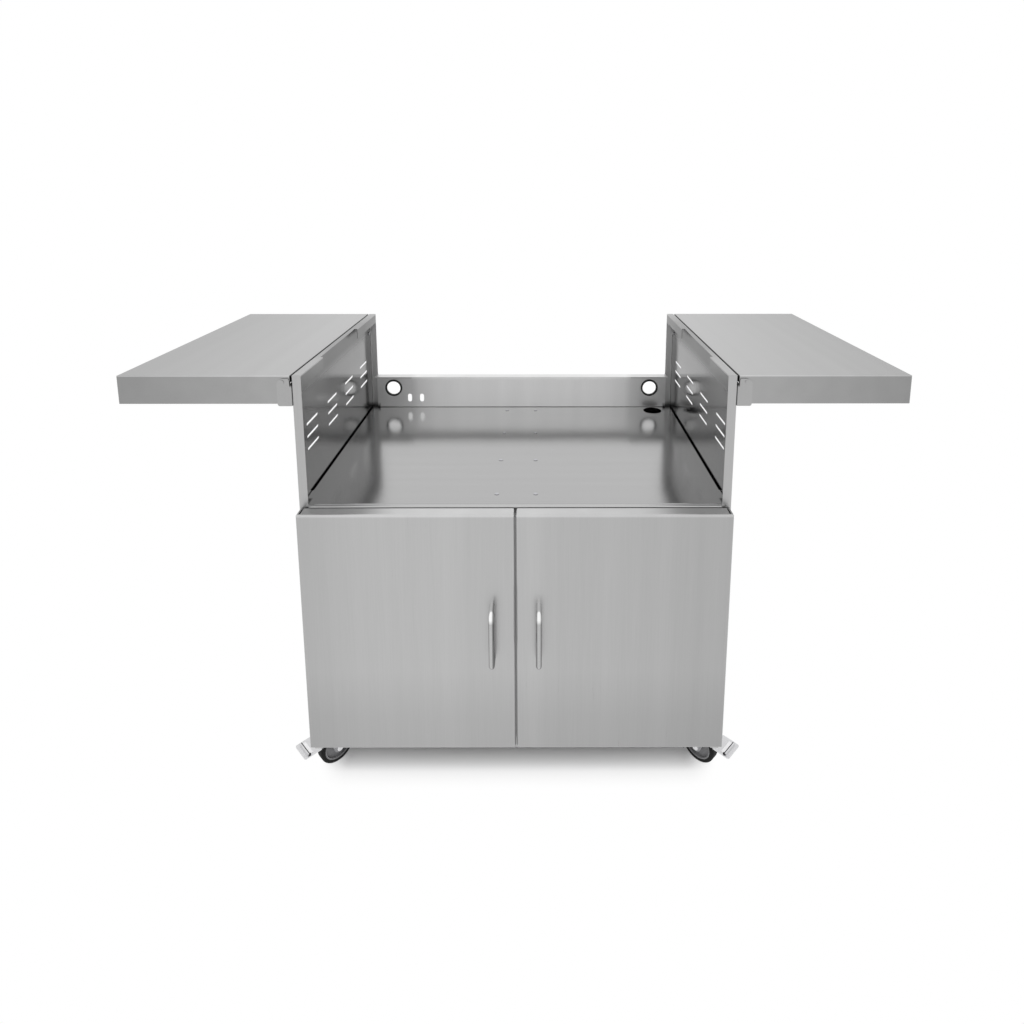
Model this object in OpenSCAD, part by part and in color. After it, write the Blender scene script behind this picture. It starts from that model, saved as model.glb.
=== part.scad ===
// Folded stainless steel grill cart. An open bay for a drop-in grill head stands
// between two side panels, above a two-door cabinet on swivel casters, and a
// shelf folds down on each side. Millimetres, +Z up, the front faces -Y, the
// floor is z = 0 and the origin is under the middle of the cart.

/* [Overall] */
// Height of the panel tops and shelf tops above the floor
cart_h = 886; // [850:1:950]
// Clear width of the grill bay between the side panel flanges
bay_w = 788; // [720:1:860]
// Depth of the side panels and shelves, front to back
panel_d = 571; // [540:1:620]
// Thickness of the folded sheet
sheet_t = 1.2; // [0.8:0.1:1.6]
// Outside radius of every sheet fold
fold_r = 2.4; // [2:0.1:3]

/* [Side panels] */
// Width of the flange folded inward at the front, top and rear of a side panel
flange_w = 17.4; // [15:0.2:22]
// Height of the lip turned down from the top flange
lip_h = 24; // [12:1:40]
// Length of the lip at the front of the top flange
lip_front_l = 129; // [80:1:180]
// Length of the lip at the rear of the top flange
lip_rear_l = 184; // [100:1:220]
// Depth that the top flange is cut back between its two lips
flange_cut = 6.4; // [2:0.2:9]

/* [Vent slots] */
// Length of a vent slot
slot_l = 66; // [40:1:90]
// Height of a vent slot
slot_h = 5.6; // [4:0.2:8]
// Vent slots in a row
slot_cols = 4; // [2:1:4]
// Rows of vent slots
slot_rows = 3; // [1:1:4]
// Spacing of the vent slots along a row
slot_pitch = 131; // [110:1:140]
// Spacing of the rows of vent slots
slot_row_pitch = 25.5; // [15:0.5:28]
// Centre of the first vent slot behind the front of the side panel
slot_first = 94; // [80:1:110]
// Depth of the top row of vent slots below the top of the side panel
slot_drop = 118.5; // [90:0.5:130]

/* [Deck] */
// Depth of the deck below the tops of the side panels
deck_drop = 259; // [230:1:290]
// Height of the skirt folded down round the deck
deck_skirt_h = 20; // [15:1:30]
// Width of the gap beside each long edge of the deck
deck_gap_w = 3; // [2:0.5:14]
// Start of the edge gap behind the front of the cart
deck_gap_start = 68; // [50:1:90]
// End of the edge gap, in front of the rear of the cart
deck_gap_end = 18; // [14:1:40]
// Radius of the gas hose hole in the deck
gas_hole_r = 24; // [15:0.5:30]
// Distance of the gas hose hole to the right of the middle
gas_hole_x = 354.6; // [320:0.1:360]
// Distance of the gas hose hole in front of the rear of the cart
gas_hole_back = 41; // [36:1:80]
// Distance of each deck screw row from the middle
deck_screw_x = 38.5; // [34:0.5:46]
// First deck screw behind the front of the cart
deck_screw_first = 52; // [45:1:60]
// Last deck screw in front of the rear of the cart
deck_screw_end = 39; // [36:1:60]
// Depth of the hat channel under the deck
hat_h = 18; // [10:1:30]
// Width of the flat of the hat channel under the deck
hat_w = 56; // [40:1:64]

/* [Rails] */
// Width of the strip on top of the front rail
strip_w = 8.5; // [6:0.5:14]
// Height of the front rail
front_rail_h = 30; // [20:1:50]
// Height of the back rail above the deck
back_rail_h = 93; // [80:1:120]
// Distance of the back rail face in front of the rear of the cart
back_rail_inset = 12; // [10:0.5:20]
// Depth of the flange folded forward along the top of the back rail
rail_flange_w = 26; // [15:1:40]
// Height of the lip in the middle of the back rail flange
rail_lip_h = 8; // [5:0.5:15]
// Half the length of the lip in the middle of the back rail flange
rail_lip_half = 295; // [200:1:300]
// Distance of each hose grommet from the middle
grommet_x = 349.5; // [320:0.5:360]
// Depth of the hose grommets below the top of the back rail
grommet_drop = 38; // [30:1:50]
// Bore radius of a hose grommet
grommet_r = 18.4; // [14:0.1:20]
// Width of each oblong hole in the back rail
oblong_w = 11; // [6:0.5:14]
// Height of each oblong hole in the back rail
oblong_h = 22; // [16:0.5:30]
// Distance of the outer oblong hole to the left of the middle
oblong_x = 306; // [296:0.5:310]
// Spacing of the two oblong holes
oblong_pitch = 33; // [20:0.5:60]
// Depth of the oblong holes below the top of the back rail
oblong_drop = 66; // [55:1:75]

/* [Cabinet base] */
// Height of the cabinet floor above the bottom of the side panels
floor_h = 27.2; // [20:0.2:40]
// Width of the channel that carries the casters on each side
base_rail_w = 68; // [66:1:90]
// Thickness of the channel that carries the casters
base_rail_t = 2; // [1.5:0.1:3]
// Rows of vent slots in the back panel
back_slot_rows = 2; // [1:1:3]

/* [Doors] */
// Depth of the door tops below the tops of the side panels
door_drop = 260; // [250:1:300]
// Height of the door bottoms above the bottom of the side panels
door_foot = 28.4; // [20:0.2:60]
// Outside radius of the folds round a door's front
door_fold_r = 4.2; // [2:0.1:6]
// Thickness of a door
door_t = 26; // [24:0.5:32]
// Gap between the closed doors and the cabinet front
door_gap = 3.5; // [3:0.1:6]
// Gap between the two doors
door_split = 2.5; // [2:0.5:8]
// Distance of each door edge inside the outer face of its side panel
door_inset = 2.4; // [1:0.1:5]
// Width of the lips folded in at the back of a door
door_lip_w = 14; // [8:1:20]
// Distance of the hinge axis from the outer edge of the door
hinge_edge = 10; // [9:0.5:12]
// Distance of the hinge axis from the back of the door
hinge_back = 17; // [16:0.5:20]
// Radius of a hinge pin
hinge_pin_r = 3; // [2:0.1:4]
// Distance of the opening for each hinge from the top or foot of the door
hinge_notch_drop = 14; // [8:1:30]
// Height of the opening for each hinge
hinge_notch_h = 20; // [18:1:30]
// Length of a hinge plate, inward from the hinge axis
hinge_plate_l = 22; // [18:1:30]
// Width of the channel behind the handle
stiff_w = 32; // [26:1:40]
// Length that the channel behind the handle is short of the door
stiff_short = 58; // [56:1:100]

/* [Handles] */
// Distance of a handle from the middle of the cart
handle_x = 44.5; // [30:0.5:70]
// Depth of the middle of a handle below the top of its door
handle_drop = 240.6; // [180:0.2:300]
// Overall length of a handle
handle_l = 123; // [100:1:200]
// Radius of the handle bar
handle_r = 5.5; // [4:0.25:8]
// Distance that a handle stands out from the door
handle_reach = 35; // [30:1:50]
// Radius of the bends of a handle, at the middle of the bar
handle_bend_r = 11; // [9:0.5:16]

/* [Shelves] */
// Width of a shelf, from its panel edge to its outer edge
shelf_w = 319.6; // [250:0.2:380]
// Thickness of a shelf
shelf_h = 54; // [44:0.5:60]
// Gap between a shelf and its side panel
shelf_gap = 2; // [1.8:0.1:2.4]
// Height of the lip at the panel edge of a shelf
shelf_lip_h = 13.5; // [8:0.5:13.5]
// Distance of the shelf pivot outside its side panel
pivot_out = 18; // [16:0.5:22]
// Radius of a shelf pivot pin
pivot_r = 4; // [3:0.25:5]
// Distance of the lock pin outside the side panel
lock_out = 17; // [15:0.5:20]
// Depth of the lock pin below the shelf top
lock_drop = 12; // [11:0.5:14]
// Radius of a lock pin
lock_r = 2.5; // [2:0.1:3]
// Thickness of a shelf bracket
bracket_t = 1.5; // [1:0.1:1.6]
// Width of the face of a shelf bracket
bracket_w = 27; // [26:0.2:36]
// Depth of the top of a shelf bracket below the shelf top
bracket_drop = 5.5; // [4:0.5:10]
// Distance that a shelf bracket hangs below the shelf
bracket_hang = 4; // [2:0.5:8]
// Length of the bracket flange on the side panel
bracket_flange_l = 30; // [24:1:40]
// Depth of the top of the bracket flange below the shelf top
bracket_flange_drop = 14; // [14:0.5:30]
// Radius of the screws that hold a bracket
bracket_screw_r = 2.5; // [2:0.1:3]
// Distance of the bracket screws from the front or rear of the side panel
bracket_screw_y = 20; // [14:0.5:22]
// Spacing of the two bracket screws
bracket_screw_pitch = 20; // [14:0.5:22]

/* [Casters] */
// Height of a caster, from the floor to its mounting face
caster_h = 100; // [98:1:110]
// Radius of a caster wheel
wheel_r = 38; // [34:0.5:39]
// Width of a caster wheel
wheel_w = 24; // [20:0.5:26]
// Distance of the wheel axle from the swivel axis
caster_trail = 23; // [20:0.5:32]
// Distance of the swivel axis inside the outer face of the side panel
caster_inset = 32.4; // [32:0.2:36]
// Distance of the swivel axis from the front or rear of the cart
caster_end = 95; // [60:1:120]
// Angle of the front casters, outward from straight ahead
caster_turn = 45; // [30:1:60]
// Side of the square caster plate
plate_w = 62; // [56:1:64]
// Spacing of the four bolts of a caster plate
plate_bolt_pitch = 44; // [40:1:46]
// Width of a brake pedal
pedal_w = 46; // [36:1:50]
// Reach of a brake pedal from the swivel axis
pedal_reach = 102; // [90:1:110]
// Depth of the level tread of a brake pedal below its pin
pedal_drop = 13; // [8:0.5:15]

/* [Hidden] */

// Sides, as the factor that mirrors a piece, and round holes and bends
left = -1;
right = 1;
$fn = 64;
// Overshoot of a cut past the face that it opens
cut = 1;
// Gap where a piece seats on another, and between pieces that move past each other
seat = 0.1;
run = 0.3;
// Radial clearance of a turning pin in its hole, and of a screw in its hole
pin_clear = 0.05;
screw_clear = 0.2;

steel = [0.74, 0.74, 0.74];
bright_steel = [0.85, 0.85, 0.86];
zinc = [0.8, 0.8, 0.82];
black_rubber = [0.08, 0.08, 0.08];
grey_plastic = [0.5, 0.5, 0.51];

// Half widths of the bay and of the cabinet, and the inner face of the panel wall
half_in = bay_w / 2;
half_out = half_in + flange_w;
wall_in = half_out - sheet_t;
// Half width of a sheet that fits between the panel walls, and of one that also
// clears the inside of the panel folds
fold_in = fold_r - sheet_t;
half_fit = wall_in - seat;
half_lap = half_fit - fold_in;
// Faces of the sheets that lap behind the front and rear flanges
lap_front = sheet_t + seat;
lap_rear = panel_d - sheet_t - seat;

deck_z = cart_h - deck_drop;
deck_edge_x = wall_in - deck_gap_w;
// Gap between the front rail's strip and the deck
strip_gap = 0.8;
deck_front = lap_front + strip_w + strip_gap;
deck_rear = lap_rear - sheet_t - seat;
floor_z = caster_h + floor_h;
rail_top_z = deck_z + back_rail_h;
rail_face_y = panel_d - back_rail_inset;
rail_half = half_in - seat;
deck_screw_pitch = (panel_d - deck_screw_first - deck_screw_end) / 3;
// Rings of a hose grommet: the part in the hole, and the rim on both faces
grommet_wall = 1.5;
grommet_rim = 4.8;
// Distance of the vent slots of the back panel from its edges
back_slot_edge = 50;

door_z = cart_h - door_drop;
door_foot_z = caster_h + door_foot;
door_h = door_z - door_foot_z;
door_out_x = half_out - door_inset;
door_w = door_out_x - door_split / 2;
door_back_y = -door_gap;
door_face_y = door_back_y - door_t;
door_skin_y = door_face_y + sheet_t;
hinge_x = door_out_x - hinge_edge;
hinge_y = door_back_y - hinge_back;
// Heights of the hinge, counted from the top or bottom edge of the door
hinge_arm_drop = hinge_notch_drop + 5.5;
hinge_arm_t = 2;
hinge_arm_half = 5.5;
// Half width of the arm behind the pin, where the open door's edge passes
hinge_arm_out = 2;
hinge_plate_t = 1.5;
hinge_plate_drop = hinge_arm_drop + hinge_arm_t + run;
hinge_head_r = 4.5;
hinge_head_h = 2;
// Width of the open end of the door's top fold, outside the hinge
corner_gap = 8;
stiff_x = handle_x - stiff_w / 2;
stiff_z = door_foot_z + stiff_short / 2;
stiff_h = door_h - stiff_short;
stiff_lip = 10;
handle_z = door_z - handle_drop;
// Magnets under the front rail, and the plates on the doors that they hold
catch_h = 12;
catch_w = 28;
catch_top = deck_z - front_rail_h - seat;
strike_t = 1.2;

shelf_in_x = half_out + shelf_gap;
pivot_x = half_out + pivot_out;
pivot_arc = pivot_out - shelf_gap;
pivot_z = cart_h - shelf_h + pivot_arc;
// Hat channel under each shelf
shelf_hat_w = 44;
shelf_hat_h = 18;
shelf_hat_brim = 14;
bracket_face = run + bracket_t;
bracket_z = cart_h - shelf_h - bracket_hang;
bracket_top_z = cart_h - bracket_drop;
bracket_screw_z = [bracket_z + 8, bracket_z + 8 + bracket_screw_pitch];
// Lock pin, out from the shelf pivot and above it
lock_x = lock_out - pivot_out;
lock_up = cart_h - lock_drop - pivot_z;
lock_arc = sqrt(lock_x * lock_x + lock_up * lock_up);
lock_head_r = 4;
lock_head_h = 0.8;

caster_x = half_out - caster_inset;
fork_gap = wheel_w + 4;
fork_t = 2.5;
plate_t = 2.5;
race_r = 22;
race_h = 7;
crown_z = caster_h - plate_t - race_h - run;
axle_r = 4;
hub_r = wheel_r - 8;
bolt_r = 3;
deck_screw_r = 2;
handle_screw_r = 2.5;
handle_cc = handle_l - 2 * handle_r;
// Brake pedal: pin in the fork, outward of the axle and below the crown
pedal_pin_lead = 20;
pedal_pin_fall = 10.2;
pedal_pin_x = caster_trail + pedal_pin_lead;
pedal_pin_z = crown_z - pedal_pin_fall;
pedal_pin_r = 2.5;
pedal_t = 2;
pedal_ear_t = 1.5;
pedal_ear_r = 6;

// Where the middle of the whole depth lies, from handles to rear brackets
front_reach = door_gap + door_t + handle_reach;
front_y = -(panel_d + bracket_face + lock_head_h - front_reach) / 2;

// Moves a piece drawn from the cabinet front (y = 0) into the cart's frame
module in_cart() {
    translate([0, front_y, 0]) children();
}

// A piece drawn for the right side, mirrored when it belongs on the left
module on_side(side) {
    mirror([side < 0 ? 1 : 0, 0, 0]) children();
}

// A piece drawn for the front end, and turned over for the rear end
module at_end(rear) {
    translate([0, rear ? panel_d : 0, 0]) mirror([0, rear ? 1 : 0, 0]) children();
}

// Rectangle with four rounded corners
module round_rect(w, h, r) {
    translate([r, 0]) square([w - 2 * r, h]);
    translate([0, r]) square([w, h - 2 * r]);
    for (x = [r, w - r], y = [r, h - r]) translate([x, y]) circle(r);
}

// Slot with round ends, along x, about the origin
module slot_shape(l, h) {
    square([l - h, h], center = true);
    for (x = [-1, 1]) translate([x * (l - h) / 2, 0]) circle(h / 2);
}

// Block with all its edges rounded, as three crossing bars
module round_block(size, r) {
    intersection() {
        linear_extrude(size.z) round_rect(size.x, size.y, r);
        translate([0, size.y, 0]) rotate([90, 0, 0]) linear_extrude(size.y)
            round_rect(size.x, size.z, r);
        rotate([90, 0, 90]) linear_extrude(size.x) round_rect(size.y, size.z, r);
    }
}

// Sheet folded into a tray, with its face up at z = depth and its open side at z = 0
module fold_pan(w, d, depth, r = fold_r) {
    difference() {
        intersection() {
            translate([0, 0, -r]) round_block([w, d, depth + r], r);
            cube([w, d, depth]);
        }
        translate([sheet_t, sheet_t, -r])
            round_block([w - 2 * sheet_t, d - 2 * sheet_t, depth + r - sheet_t], r - sheet_t);
    }
}

// Quarter ring of a fold, from the +x axis to the +y axis
module fold_corner(t) {
    intersection() {
        difference() {
            circle(fold_r);
            circle(fold_r - t);
        }
        square(fold_r);
    }
}

// Section of a folded strip. Each leg is [flat length, turn], the turn being 1 for
// a fold to the left, -1 for a fold to the right and 0 at the end.
module folded(legs, t = sheet_t, i = 0) {
    flat = legs[i][0];
    turn = legs[i][1];
    square([flat, t]);
    if (turn > 0) {
        translate([flat, fold_r]) rotate(-90) fold_corner(t);
        translate([flat + fold_r, fold_r]) rotate(90) folded(legs, t, i + 1);
    }
    if (turn < 0) {
        translate([flat, t - fold_r]) fold_corner(t);
        translate([flat + fold_r - t, t - fold_r]) rotate(-90) folded(legs, t, i + 1);
    }
}

// Cheese-head screw along +z, its head below z = 0
module screw(r, l, head_r, head_h) {
    translate([0, 0, -head_h]) cylinder(r = head_r, h = head_h);
    translate([0, 0, -cut / 4]) cylinder(r = r, h = l + cut / 4);
}

// Grid of vent slots through a sheet that faces z, from the centre of the first slot
module vent_slots(cols, rows) {
    for (c = [0 : cols - 1], row = [0 : rows - 1])
        translate([c * slot_pitch, -row * slot_row_pitch, -cut])
            linear_extrude(sheet_t + 2 * cut) slot_shape(slot_l, slot_h);
}

// Side panel

module side_panel(side) {
    lip_starts = [[0, lip_front_l], [panel_d - lip_rear_l, lip_rear_l]];
    color(steel) in_cart() on_side(side) difference() {
        union() {
            difference() {
                translate([half_in, 0, cart_h]) rotate([0, 90, 0])
                    fold_pan(cart_h, panel_d, flange_w);
                translate([0, -cut, -cut]) cube([half_out + cut, panel_d + 2 * cut, caster_h + cut]);
                translate([half_in - cut, lip_front_l, cart_h - fold_r - cut])
                    cube([flange_cut + cut, panel_d - lip_front_l - lip_rear_l, fold_r + 2 * cut]);
            }
            for (s = lip_starts) translate([half_in, s[0] + sheet_t, cart_h - lip_h])
                cube([sheet_t, s[1] - sheet_t - (s[0] > 0 ? sheet_t : 0), lip_h - sheet_t / 2]);
        }
        translate([wall_in, slot_first, cart_h - slot_drop]) rotate([90, 0, 90])
            vent_slots(slot_cols, slot_rows);
        for (rear = [false, true], z = bracket_screw_z) at_end(rear)
            translate([wall_in - cut, bracket_screw_y, z]) rotate([0, 90, 0])
                cylinder(r = bracket_screw_r + screw_clear, h = sheet_t + 2 * cut);
    }
}

// Deck and the rails round it

module front_rail() {
    legs = [[strip_w - fold_r, 1], [front_rail_h - 2 * fold_r, 1], [strip_w + 4 - fold_r, 0]];
    color(steel) in_cart() translate([-half_lap, lap_front + strip_w, deck_z]) rotate([90, 0, 90])
        linear_extrude(2 * half_lap) rotate(180) folded(legs);
}

module deck() {
    gap_l = panel_d - deck_gap_start - deck_gap_end;
    color(steel) in_cart() difference() {
        union() {
            difference() {
                translate([-half_fit, deck_front, deck_z - deck_skirt_h])
                    fold_pan(2 * half_fit, deck_rear - deck_front, deck_skirt_h);
                for (side = [left, right]) on_side(side)
                    translate([deck_edge_x, deck_gap_start, deck_z - deck_skirt_h - cut])
                        cube([deck_gap_w + cut, gap_l, deck_skirt_h + 2 * cut]);
            }
            for (side = [left, right]) on_side(side)
                translate([deck_edge_x - sheet_t, deck_gap_start, deck_z - deck_skirt_h])
                    cube([sheet_t, gap_l, deck_skirt_h - sheet_t / 2]);
        }
        translate([gas_hole_x, panel_d - gas_hole_back, deck_z - sheet_t - cut])
            cylinder(r = gas_hole_r, h = sheet_t + 2 * cut);
        deck_screw_places() translate([0, 0, -sheet_t - cut])
            cylinder(r = deck_screw_r + screw_clear, h = sheet_t + 2 * cut, $fn = 24);
    }
}

// Each deck screw's place on the deck surface
module deck_screw_places() {
    for (x = [-deck_screw_x, deck_screw_x], i = [0 : 3])
        translate([x, deck_screw_first + i * deck_screw_pitch, deck_z]) children();
}

module deck_stiffener() {
    brim_edge = 12;
    screw_end = 20;
    brim = deck_screw_x + brim_edge - hat_w / 2;
    first = deck_screw_first - screw_end;
    color(steel) in_cart() difference() {
        translate([0, panel_d - deck_gap_end, deck_z - 2 * sheet_t - seat])
            rotate([90, 0, 0]) linear_extrude(panel_d - deck_gap_end - first)
                hat_section(hat_w, hat_h, brim);
        deck_screw_places() translate([0, 0, -3 * sheet_t - cut])
            cylinder(r = deck_screw_r + screw_clear, h = 3 * sheet_t + cut, $fn = 24);
    }
}

// Hat section, its brims' tops on y = sheet_t and its crown h below them
module hat_section(w, h, brim) {
    legs = [[brim, -1], [h - 2 * fold_r, 1], [w - 2 * fold_r, 1], [h - 2 * fold_r, -1], [brim, 0]];
    translate([-w / 2 - brim - fold_r + sheet_t, 0]) folded(legs);
}

module deck_screws() {
    color(bright_steel) in_cart() deck_screw_places() rotate([180, 0, 0])
        screw(deck_screw_r, 8, 4.2, 0.9, $fn = 24);
}

module back_rail() {
    foot = deck_rear - rail_face_y;
    flange_l = rail_flange_w - fold_r + sheet_t;
    legs = [[foot - fold_r, 1], [back_rail_h - 2 * fold_r, -1], [flange_l, 0]];
    color(steel) in_cart() difference() {
        union() {
            translate([rail_half, deck_rear, deck_z]) rotate([90, 0, -90])
                linear_extrude(2 * rail_half) folded(legs);
            translate([-rail_lip_half, rail_face_y - rail_flange_w, rail_top_z - rail_lip_h])
                cube([2 * rail_lip_half, sheet_t, rail_lip_h - sheet_t / 2]);
            // Returns at the ends, beside the rear flanges of the side panels
            for (side = [left, right]) on_side(side)
                translate([rail_half - sheet_t, rail_face_y + sheet_t / 2, deck_z + sheet_t])
                    cube([sheet_t, back_rail_inset - sheet_t / 2, back_rail_h - 2 * sheet_t]);
        }
        for (side = [left, right])
            translate([side * grommet_x, rail_face_y - cut, rail_top_z - grommet_drop])
                rotate([-90, 0, 0]) cylinder(r = grommet_r + grommet_wall + seat, h = sheet_t + 2 * cut);
        for (x = [-oblong_x, oblong_pitch - oblong_x])
            translate([x, rail_face_y + sheet_t + cut, rail_top_z - oblong_drop]) rotate([90, 90, 0])
                linear_extrude(sheet_t + 2 * cut) slot_shape(oblong_h, oblong_w);
    }
}

module hose_grommets() {
    color(black_rubber) in_cart() for (side = [left, right])
        translate([side * grommet_x, rail_face_y + sheet_t / 2, rail_top_z - grommet_drop])
            rotate([-90, 0, 0]) rotate_extrude() difference() {
                translate([grommet_r, -grommet_rim / 2]) square([grommet_rim, grommet_rim]);
                translate([grommet_r + grommet_wall, -sheet_t / 2 - seat / 2])
                    square([grommet_rim, sheet_t + seat]);
            }
}

// Cabinet

module back_panel() {
    foot_z = floor_z + seat;
    h = deck_z - deck_skirt_h - foot_z - seat;
    rows_h = (back_slot_rows - 1) * slot_row_pitch;
    rows_top = [foot_z + h - back_slot_edge, foot_z + back_slot_edge + rows_h];
    color(steel) in_cart() difference() {
        translate([-half_lap, lap_rear - sheet_t, foot_z]) cube([2 * half_lap, sheet_t, h]);
        for (z = rows_top) translate([-1.5 * slot_pitch, lap_rear, z]) rotate([90, 0, 0])
            vent_slots(4, back_slot_rows);
    }
}

module bottom_pan() {
    color(steel) in_cart() translate([-half_fit, lap_front, caster_h + base_rail_t + seat])
        fold_pan(2 * half_fit, lap_rear - lap_front, floor_h - base_rail_t - seat);
}

module base_rail(side) {
    leg = floor_h - sheet_t - seat - fold_in - fold_r;
    inner = half_fit - sheet_t - seat;
    first = lap_front + sheet_t + fold_in + seat;
    last = lap_rear - sheet_t - fold_in - seat;
    color(steel) in_cart() on_side(side) difference() {
        translate([inner - base_rail_w, last, caster_h]) rotate([90, 0, 0])
            linear_extrude(last - first) channel_section(base_rail_w, leg, base_rail_t);
        for (rear = [false, true]) at_end(rear) caster_bolt_places()
            cylinder(r = bolt_r + screw_clear, h = 4 * base_rail_t, center = true, $fn = 24);
    }
}

// U section with its web on y = 0 and its legs up
module channel_section(w, leg, t) {
    translate([0, leg + fold_r]) rotate(-90) folded([[leg, 1], [w - 2 * fold_r, 1], [leg, 0]], t);
}

// Each bolt of the front right caster, on the caster's mounting face
module caster_bolt_places() {
    p = plate_bolt_pitch / 2;
    for (x = [-p, p], y = [-p, p]) translate([caster_x + x, caster_end + y, caster_h]) children();
}

module caster_bolts() {
    grip = plate_t + base_rail_t;
    color(zinc) in_cart() for (side = [left, right], rear = [false, true])
        on_side(side) at_end(rear) caster_bolt_places() {
            translate([0, 0, -plate_t]) screw(bolt_r, grip + 6, 5.2, 3, $fn = 24);
            translate([0, 0, base_rail_t]) cylinder(r = 5.7, h = 4.5, $fn = 6);
        }
}

// Doors, drawn for the right-hand door

module door(side) {
    notch_x = hinge_x - 2 * hinge_arm_half;
    color(steel) in_cart() on_side(side) difference() {
        translate([door_out_x - door_w, door_back_y, door_foot_z]) rotate([90, 0, 0]) {
            fold_pan(door_w, door_h, door_t, door_fold_r);
            // Lips folded in round the open back
            linear_extrude(sheet_t) difference() {
                translate([sheet_t / 2, sheet_t / 2])
                    round_rect(door_w - sheet_t, door_h - sheet_t, door_fold_r - sheet_t / 2);
                translate([door_lip_w, door_lip_w])
                    square([door_w - 2 * door_lip_w, door_h - 2 * door_lip_w]);
            }
        }
        // Opening for each hinge, through the side and the back lip
        for (up = [false, true]) hinge_at(up)
            translate([notch_x, door_face_y + door_fold_r, -hinge_notch_drop - hinge_notch_h])
                cube([door_out_x - notch_x + cut, door_t, hinge_notch_h]);
        // Open ends of the folds at the top and foot
        for (up = [false, true]) hinge_at(up)
            translate([door_out_x - corner_gap, door_face_y + door_fold_r, -sheet_t])
                cube([corner_gap + cut, door_t, sheet_t + cut]);
        handle_screw_places()
            cylinder(r = handle_screw_r + screw_clear, h = 4 * sheet_t, center = true, $fn = 24);
    }
}

// C section with lips, its web on y = 0
module lipped_channel(w, h, lip) {
    side = h - 2 * fold_r;
    legs = [[lip - fold_r, 1], [side, 1], [w - 2 * fold_r, 1], [side, 1], [lip - fold_r, 0]];
    translate([lip, h]) rotate(180) folded(legs);
}

module door_stiffener(side) {
    depth = door_back_y - door_skin_y - seat;
    color(steel) in_cart() on_side(side) difference() {
        translate([stiff_x, door_skin_y + seat, stiff_z])
            linear_extrude(stiff_h) lipped_channel(stiff_w, depth, stiff_lip);
        handle_screw_places()
            cylinder(r = handle_screw_r + screw_clear, h = 6 * sheet_t, center = true, $fn = 24);
    }
}

// Door halves of the hinges: a plate at the top and bottom, inside the skin
module hinge_plates(side) {
    plate_side = hinge_edge - 4;
    color(steel) in_cart() on_side(side) for (up = [false, true]) hinge_at(up)
        translate([hinge_x, hinge_y, -hinge_plate_drop - hinge_plate_t]) difference() {
            translate([-hinge_plate_l, door_skin_y + seat - hinge_y, 0])
                cube([hinge_plate_l + plate_side, hinge_y - door_skin_y - seat + 8, hinge_plate_t]);
            translate([0, 0, -cut])
                cylinder(r = hinge_pin_r + pin_clear, h = hinge_plate_t + 2 * cut);
        }
}

// Stands a top hinge piece, drawn down from z = 0, at the top or the foot of the door
module hinge_at(up) {
    translate([0, 0, up ? door_z : door_foot_z]) mirror([0, 0, up ? 0 : 1]) children();
}

// Cabinet halves of the hinges: an arm from the front flange, with a foot on it
module hinge_brackets() {
    foot_h = hinge_notch_h - (hinge_arm_drop - hinge_notch_drop) - cut;
    color(zinc) in_cart() for (side = [left, right], up = [false, true])
        on_side(side) hinge_at(up) difference() {
            translate([hinge_x - hinge_arm_half, 0, -hinge_arm_drop]) {
                translate([0, hinge_y - hinge_arm_half, -hinge_arm_t])
                    cube([2 * hinge_arm_half, 2 * hinge_arm_half, hinge_arm_t]);
                translate([0, hinge_y, -hinge_arm_t])
                    cube([hinge_arm_half + hinge_arm_out, -hinge_y, hinge_arm_t]);
                translate([0, -hinge_arm_t, -foot_h])
                    cube([2 * hinge_arm_half, hinge_arm_t, foot_h]);
            }
            translate([hinge_x, hinge_y, -hinge_arm_drop - hinge_arm_t - cut])
                cylinder(r = hinge_pin_r + pin_clear, h = hinge_arm_t + 2 * cut);
        }
}

module hinge_pins() {
    color(zinc) in_cart() for (side = [left, right], up = [false, true])
        on_side(side) hinge_at(up) translate([hinge_x, hinge_y, -hinge_arm_drop]) rotate([180, 0, 0])
            screw(hinge_pin_r, hinge_arm_t + hinge_plate_t + 5, hinge_head_r, hinge_head_h);
}

// Each screw of the right-hand handle, its axis along z into the door skin
module handle_screw_places() {
    for (z = [-handle_cc / 2, handle_cc / 2])
        translate([handle_x, door_skin_y, handle_z + z]) rotate([90, 0, 0]) children();
}

module handle(side) {
    bar_y = door_face_y - handle_reach + handle_r;
    post = door_face_y - bar_y - handle_bend_r;
    color(bright_steel) in_cart() on_side(side)
            translate([handle_x, door_face_y, handle_z]) difference() {
        union() {
            translate([0, bar_y - door_face_y, -handle_cc / 2 + handle_bend_r])
                cylinder(r = handle_r, h = handle_cc - 2 * handle_bend_r);
            for (up = [0, 1]) mirror([0, 0, up]) {
                translate([0, 0, handle_cc / 2]) rotate([90, 0, 0]) cylinder(r = handle_r, h = post);
                translate([0, -post, handle_cc / 2 - handle_bend_r])
                    rotate([0, -90, 0]) rotate([0, 0, -90])
                        rotate_extrude(angle = 90) translate([handle_bend_r, 0]) circle(handle_r);
            }
        }
        for (z = [-handle_cc / 2, handle_cc / 2]) translate([0, cut, z]) rotate([90, 0, 0])
            cylinder(r = handle_screw_r + pin_clear, h = 10 + cut, $fn = 24);
    }
}

module handle_screws(side) {
    head_y = door_skin_y + seat + sheet_t + seat;
    color(zinc) in_cart() on_side(side) for (z = [-handle_cc / 2, handle_cc / 2])
        translate([handle_x, head_y, handle_z + z]) rotate([90, 0, 0])
            screw(handle_screw_r, head_y - door_face_y + 8, 4.4, 2.6, $fn = 24);
}

module magnet_catches() {
    front = door_back_y + strike_t + run;
    color(grey_plastic) in_cart() for (side = [left, right]) on_side(side)
        translate([handle_x - catch_w / 2, front, catch_top - catch_h])
            cube([catch_w, lap_front + strip_w + 3 - front, catch_h]);
}

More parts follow.
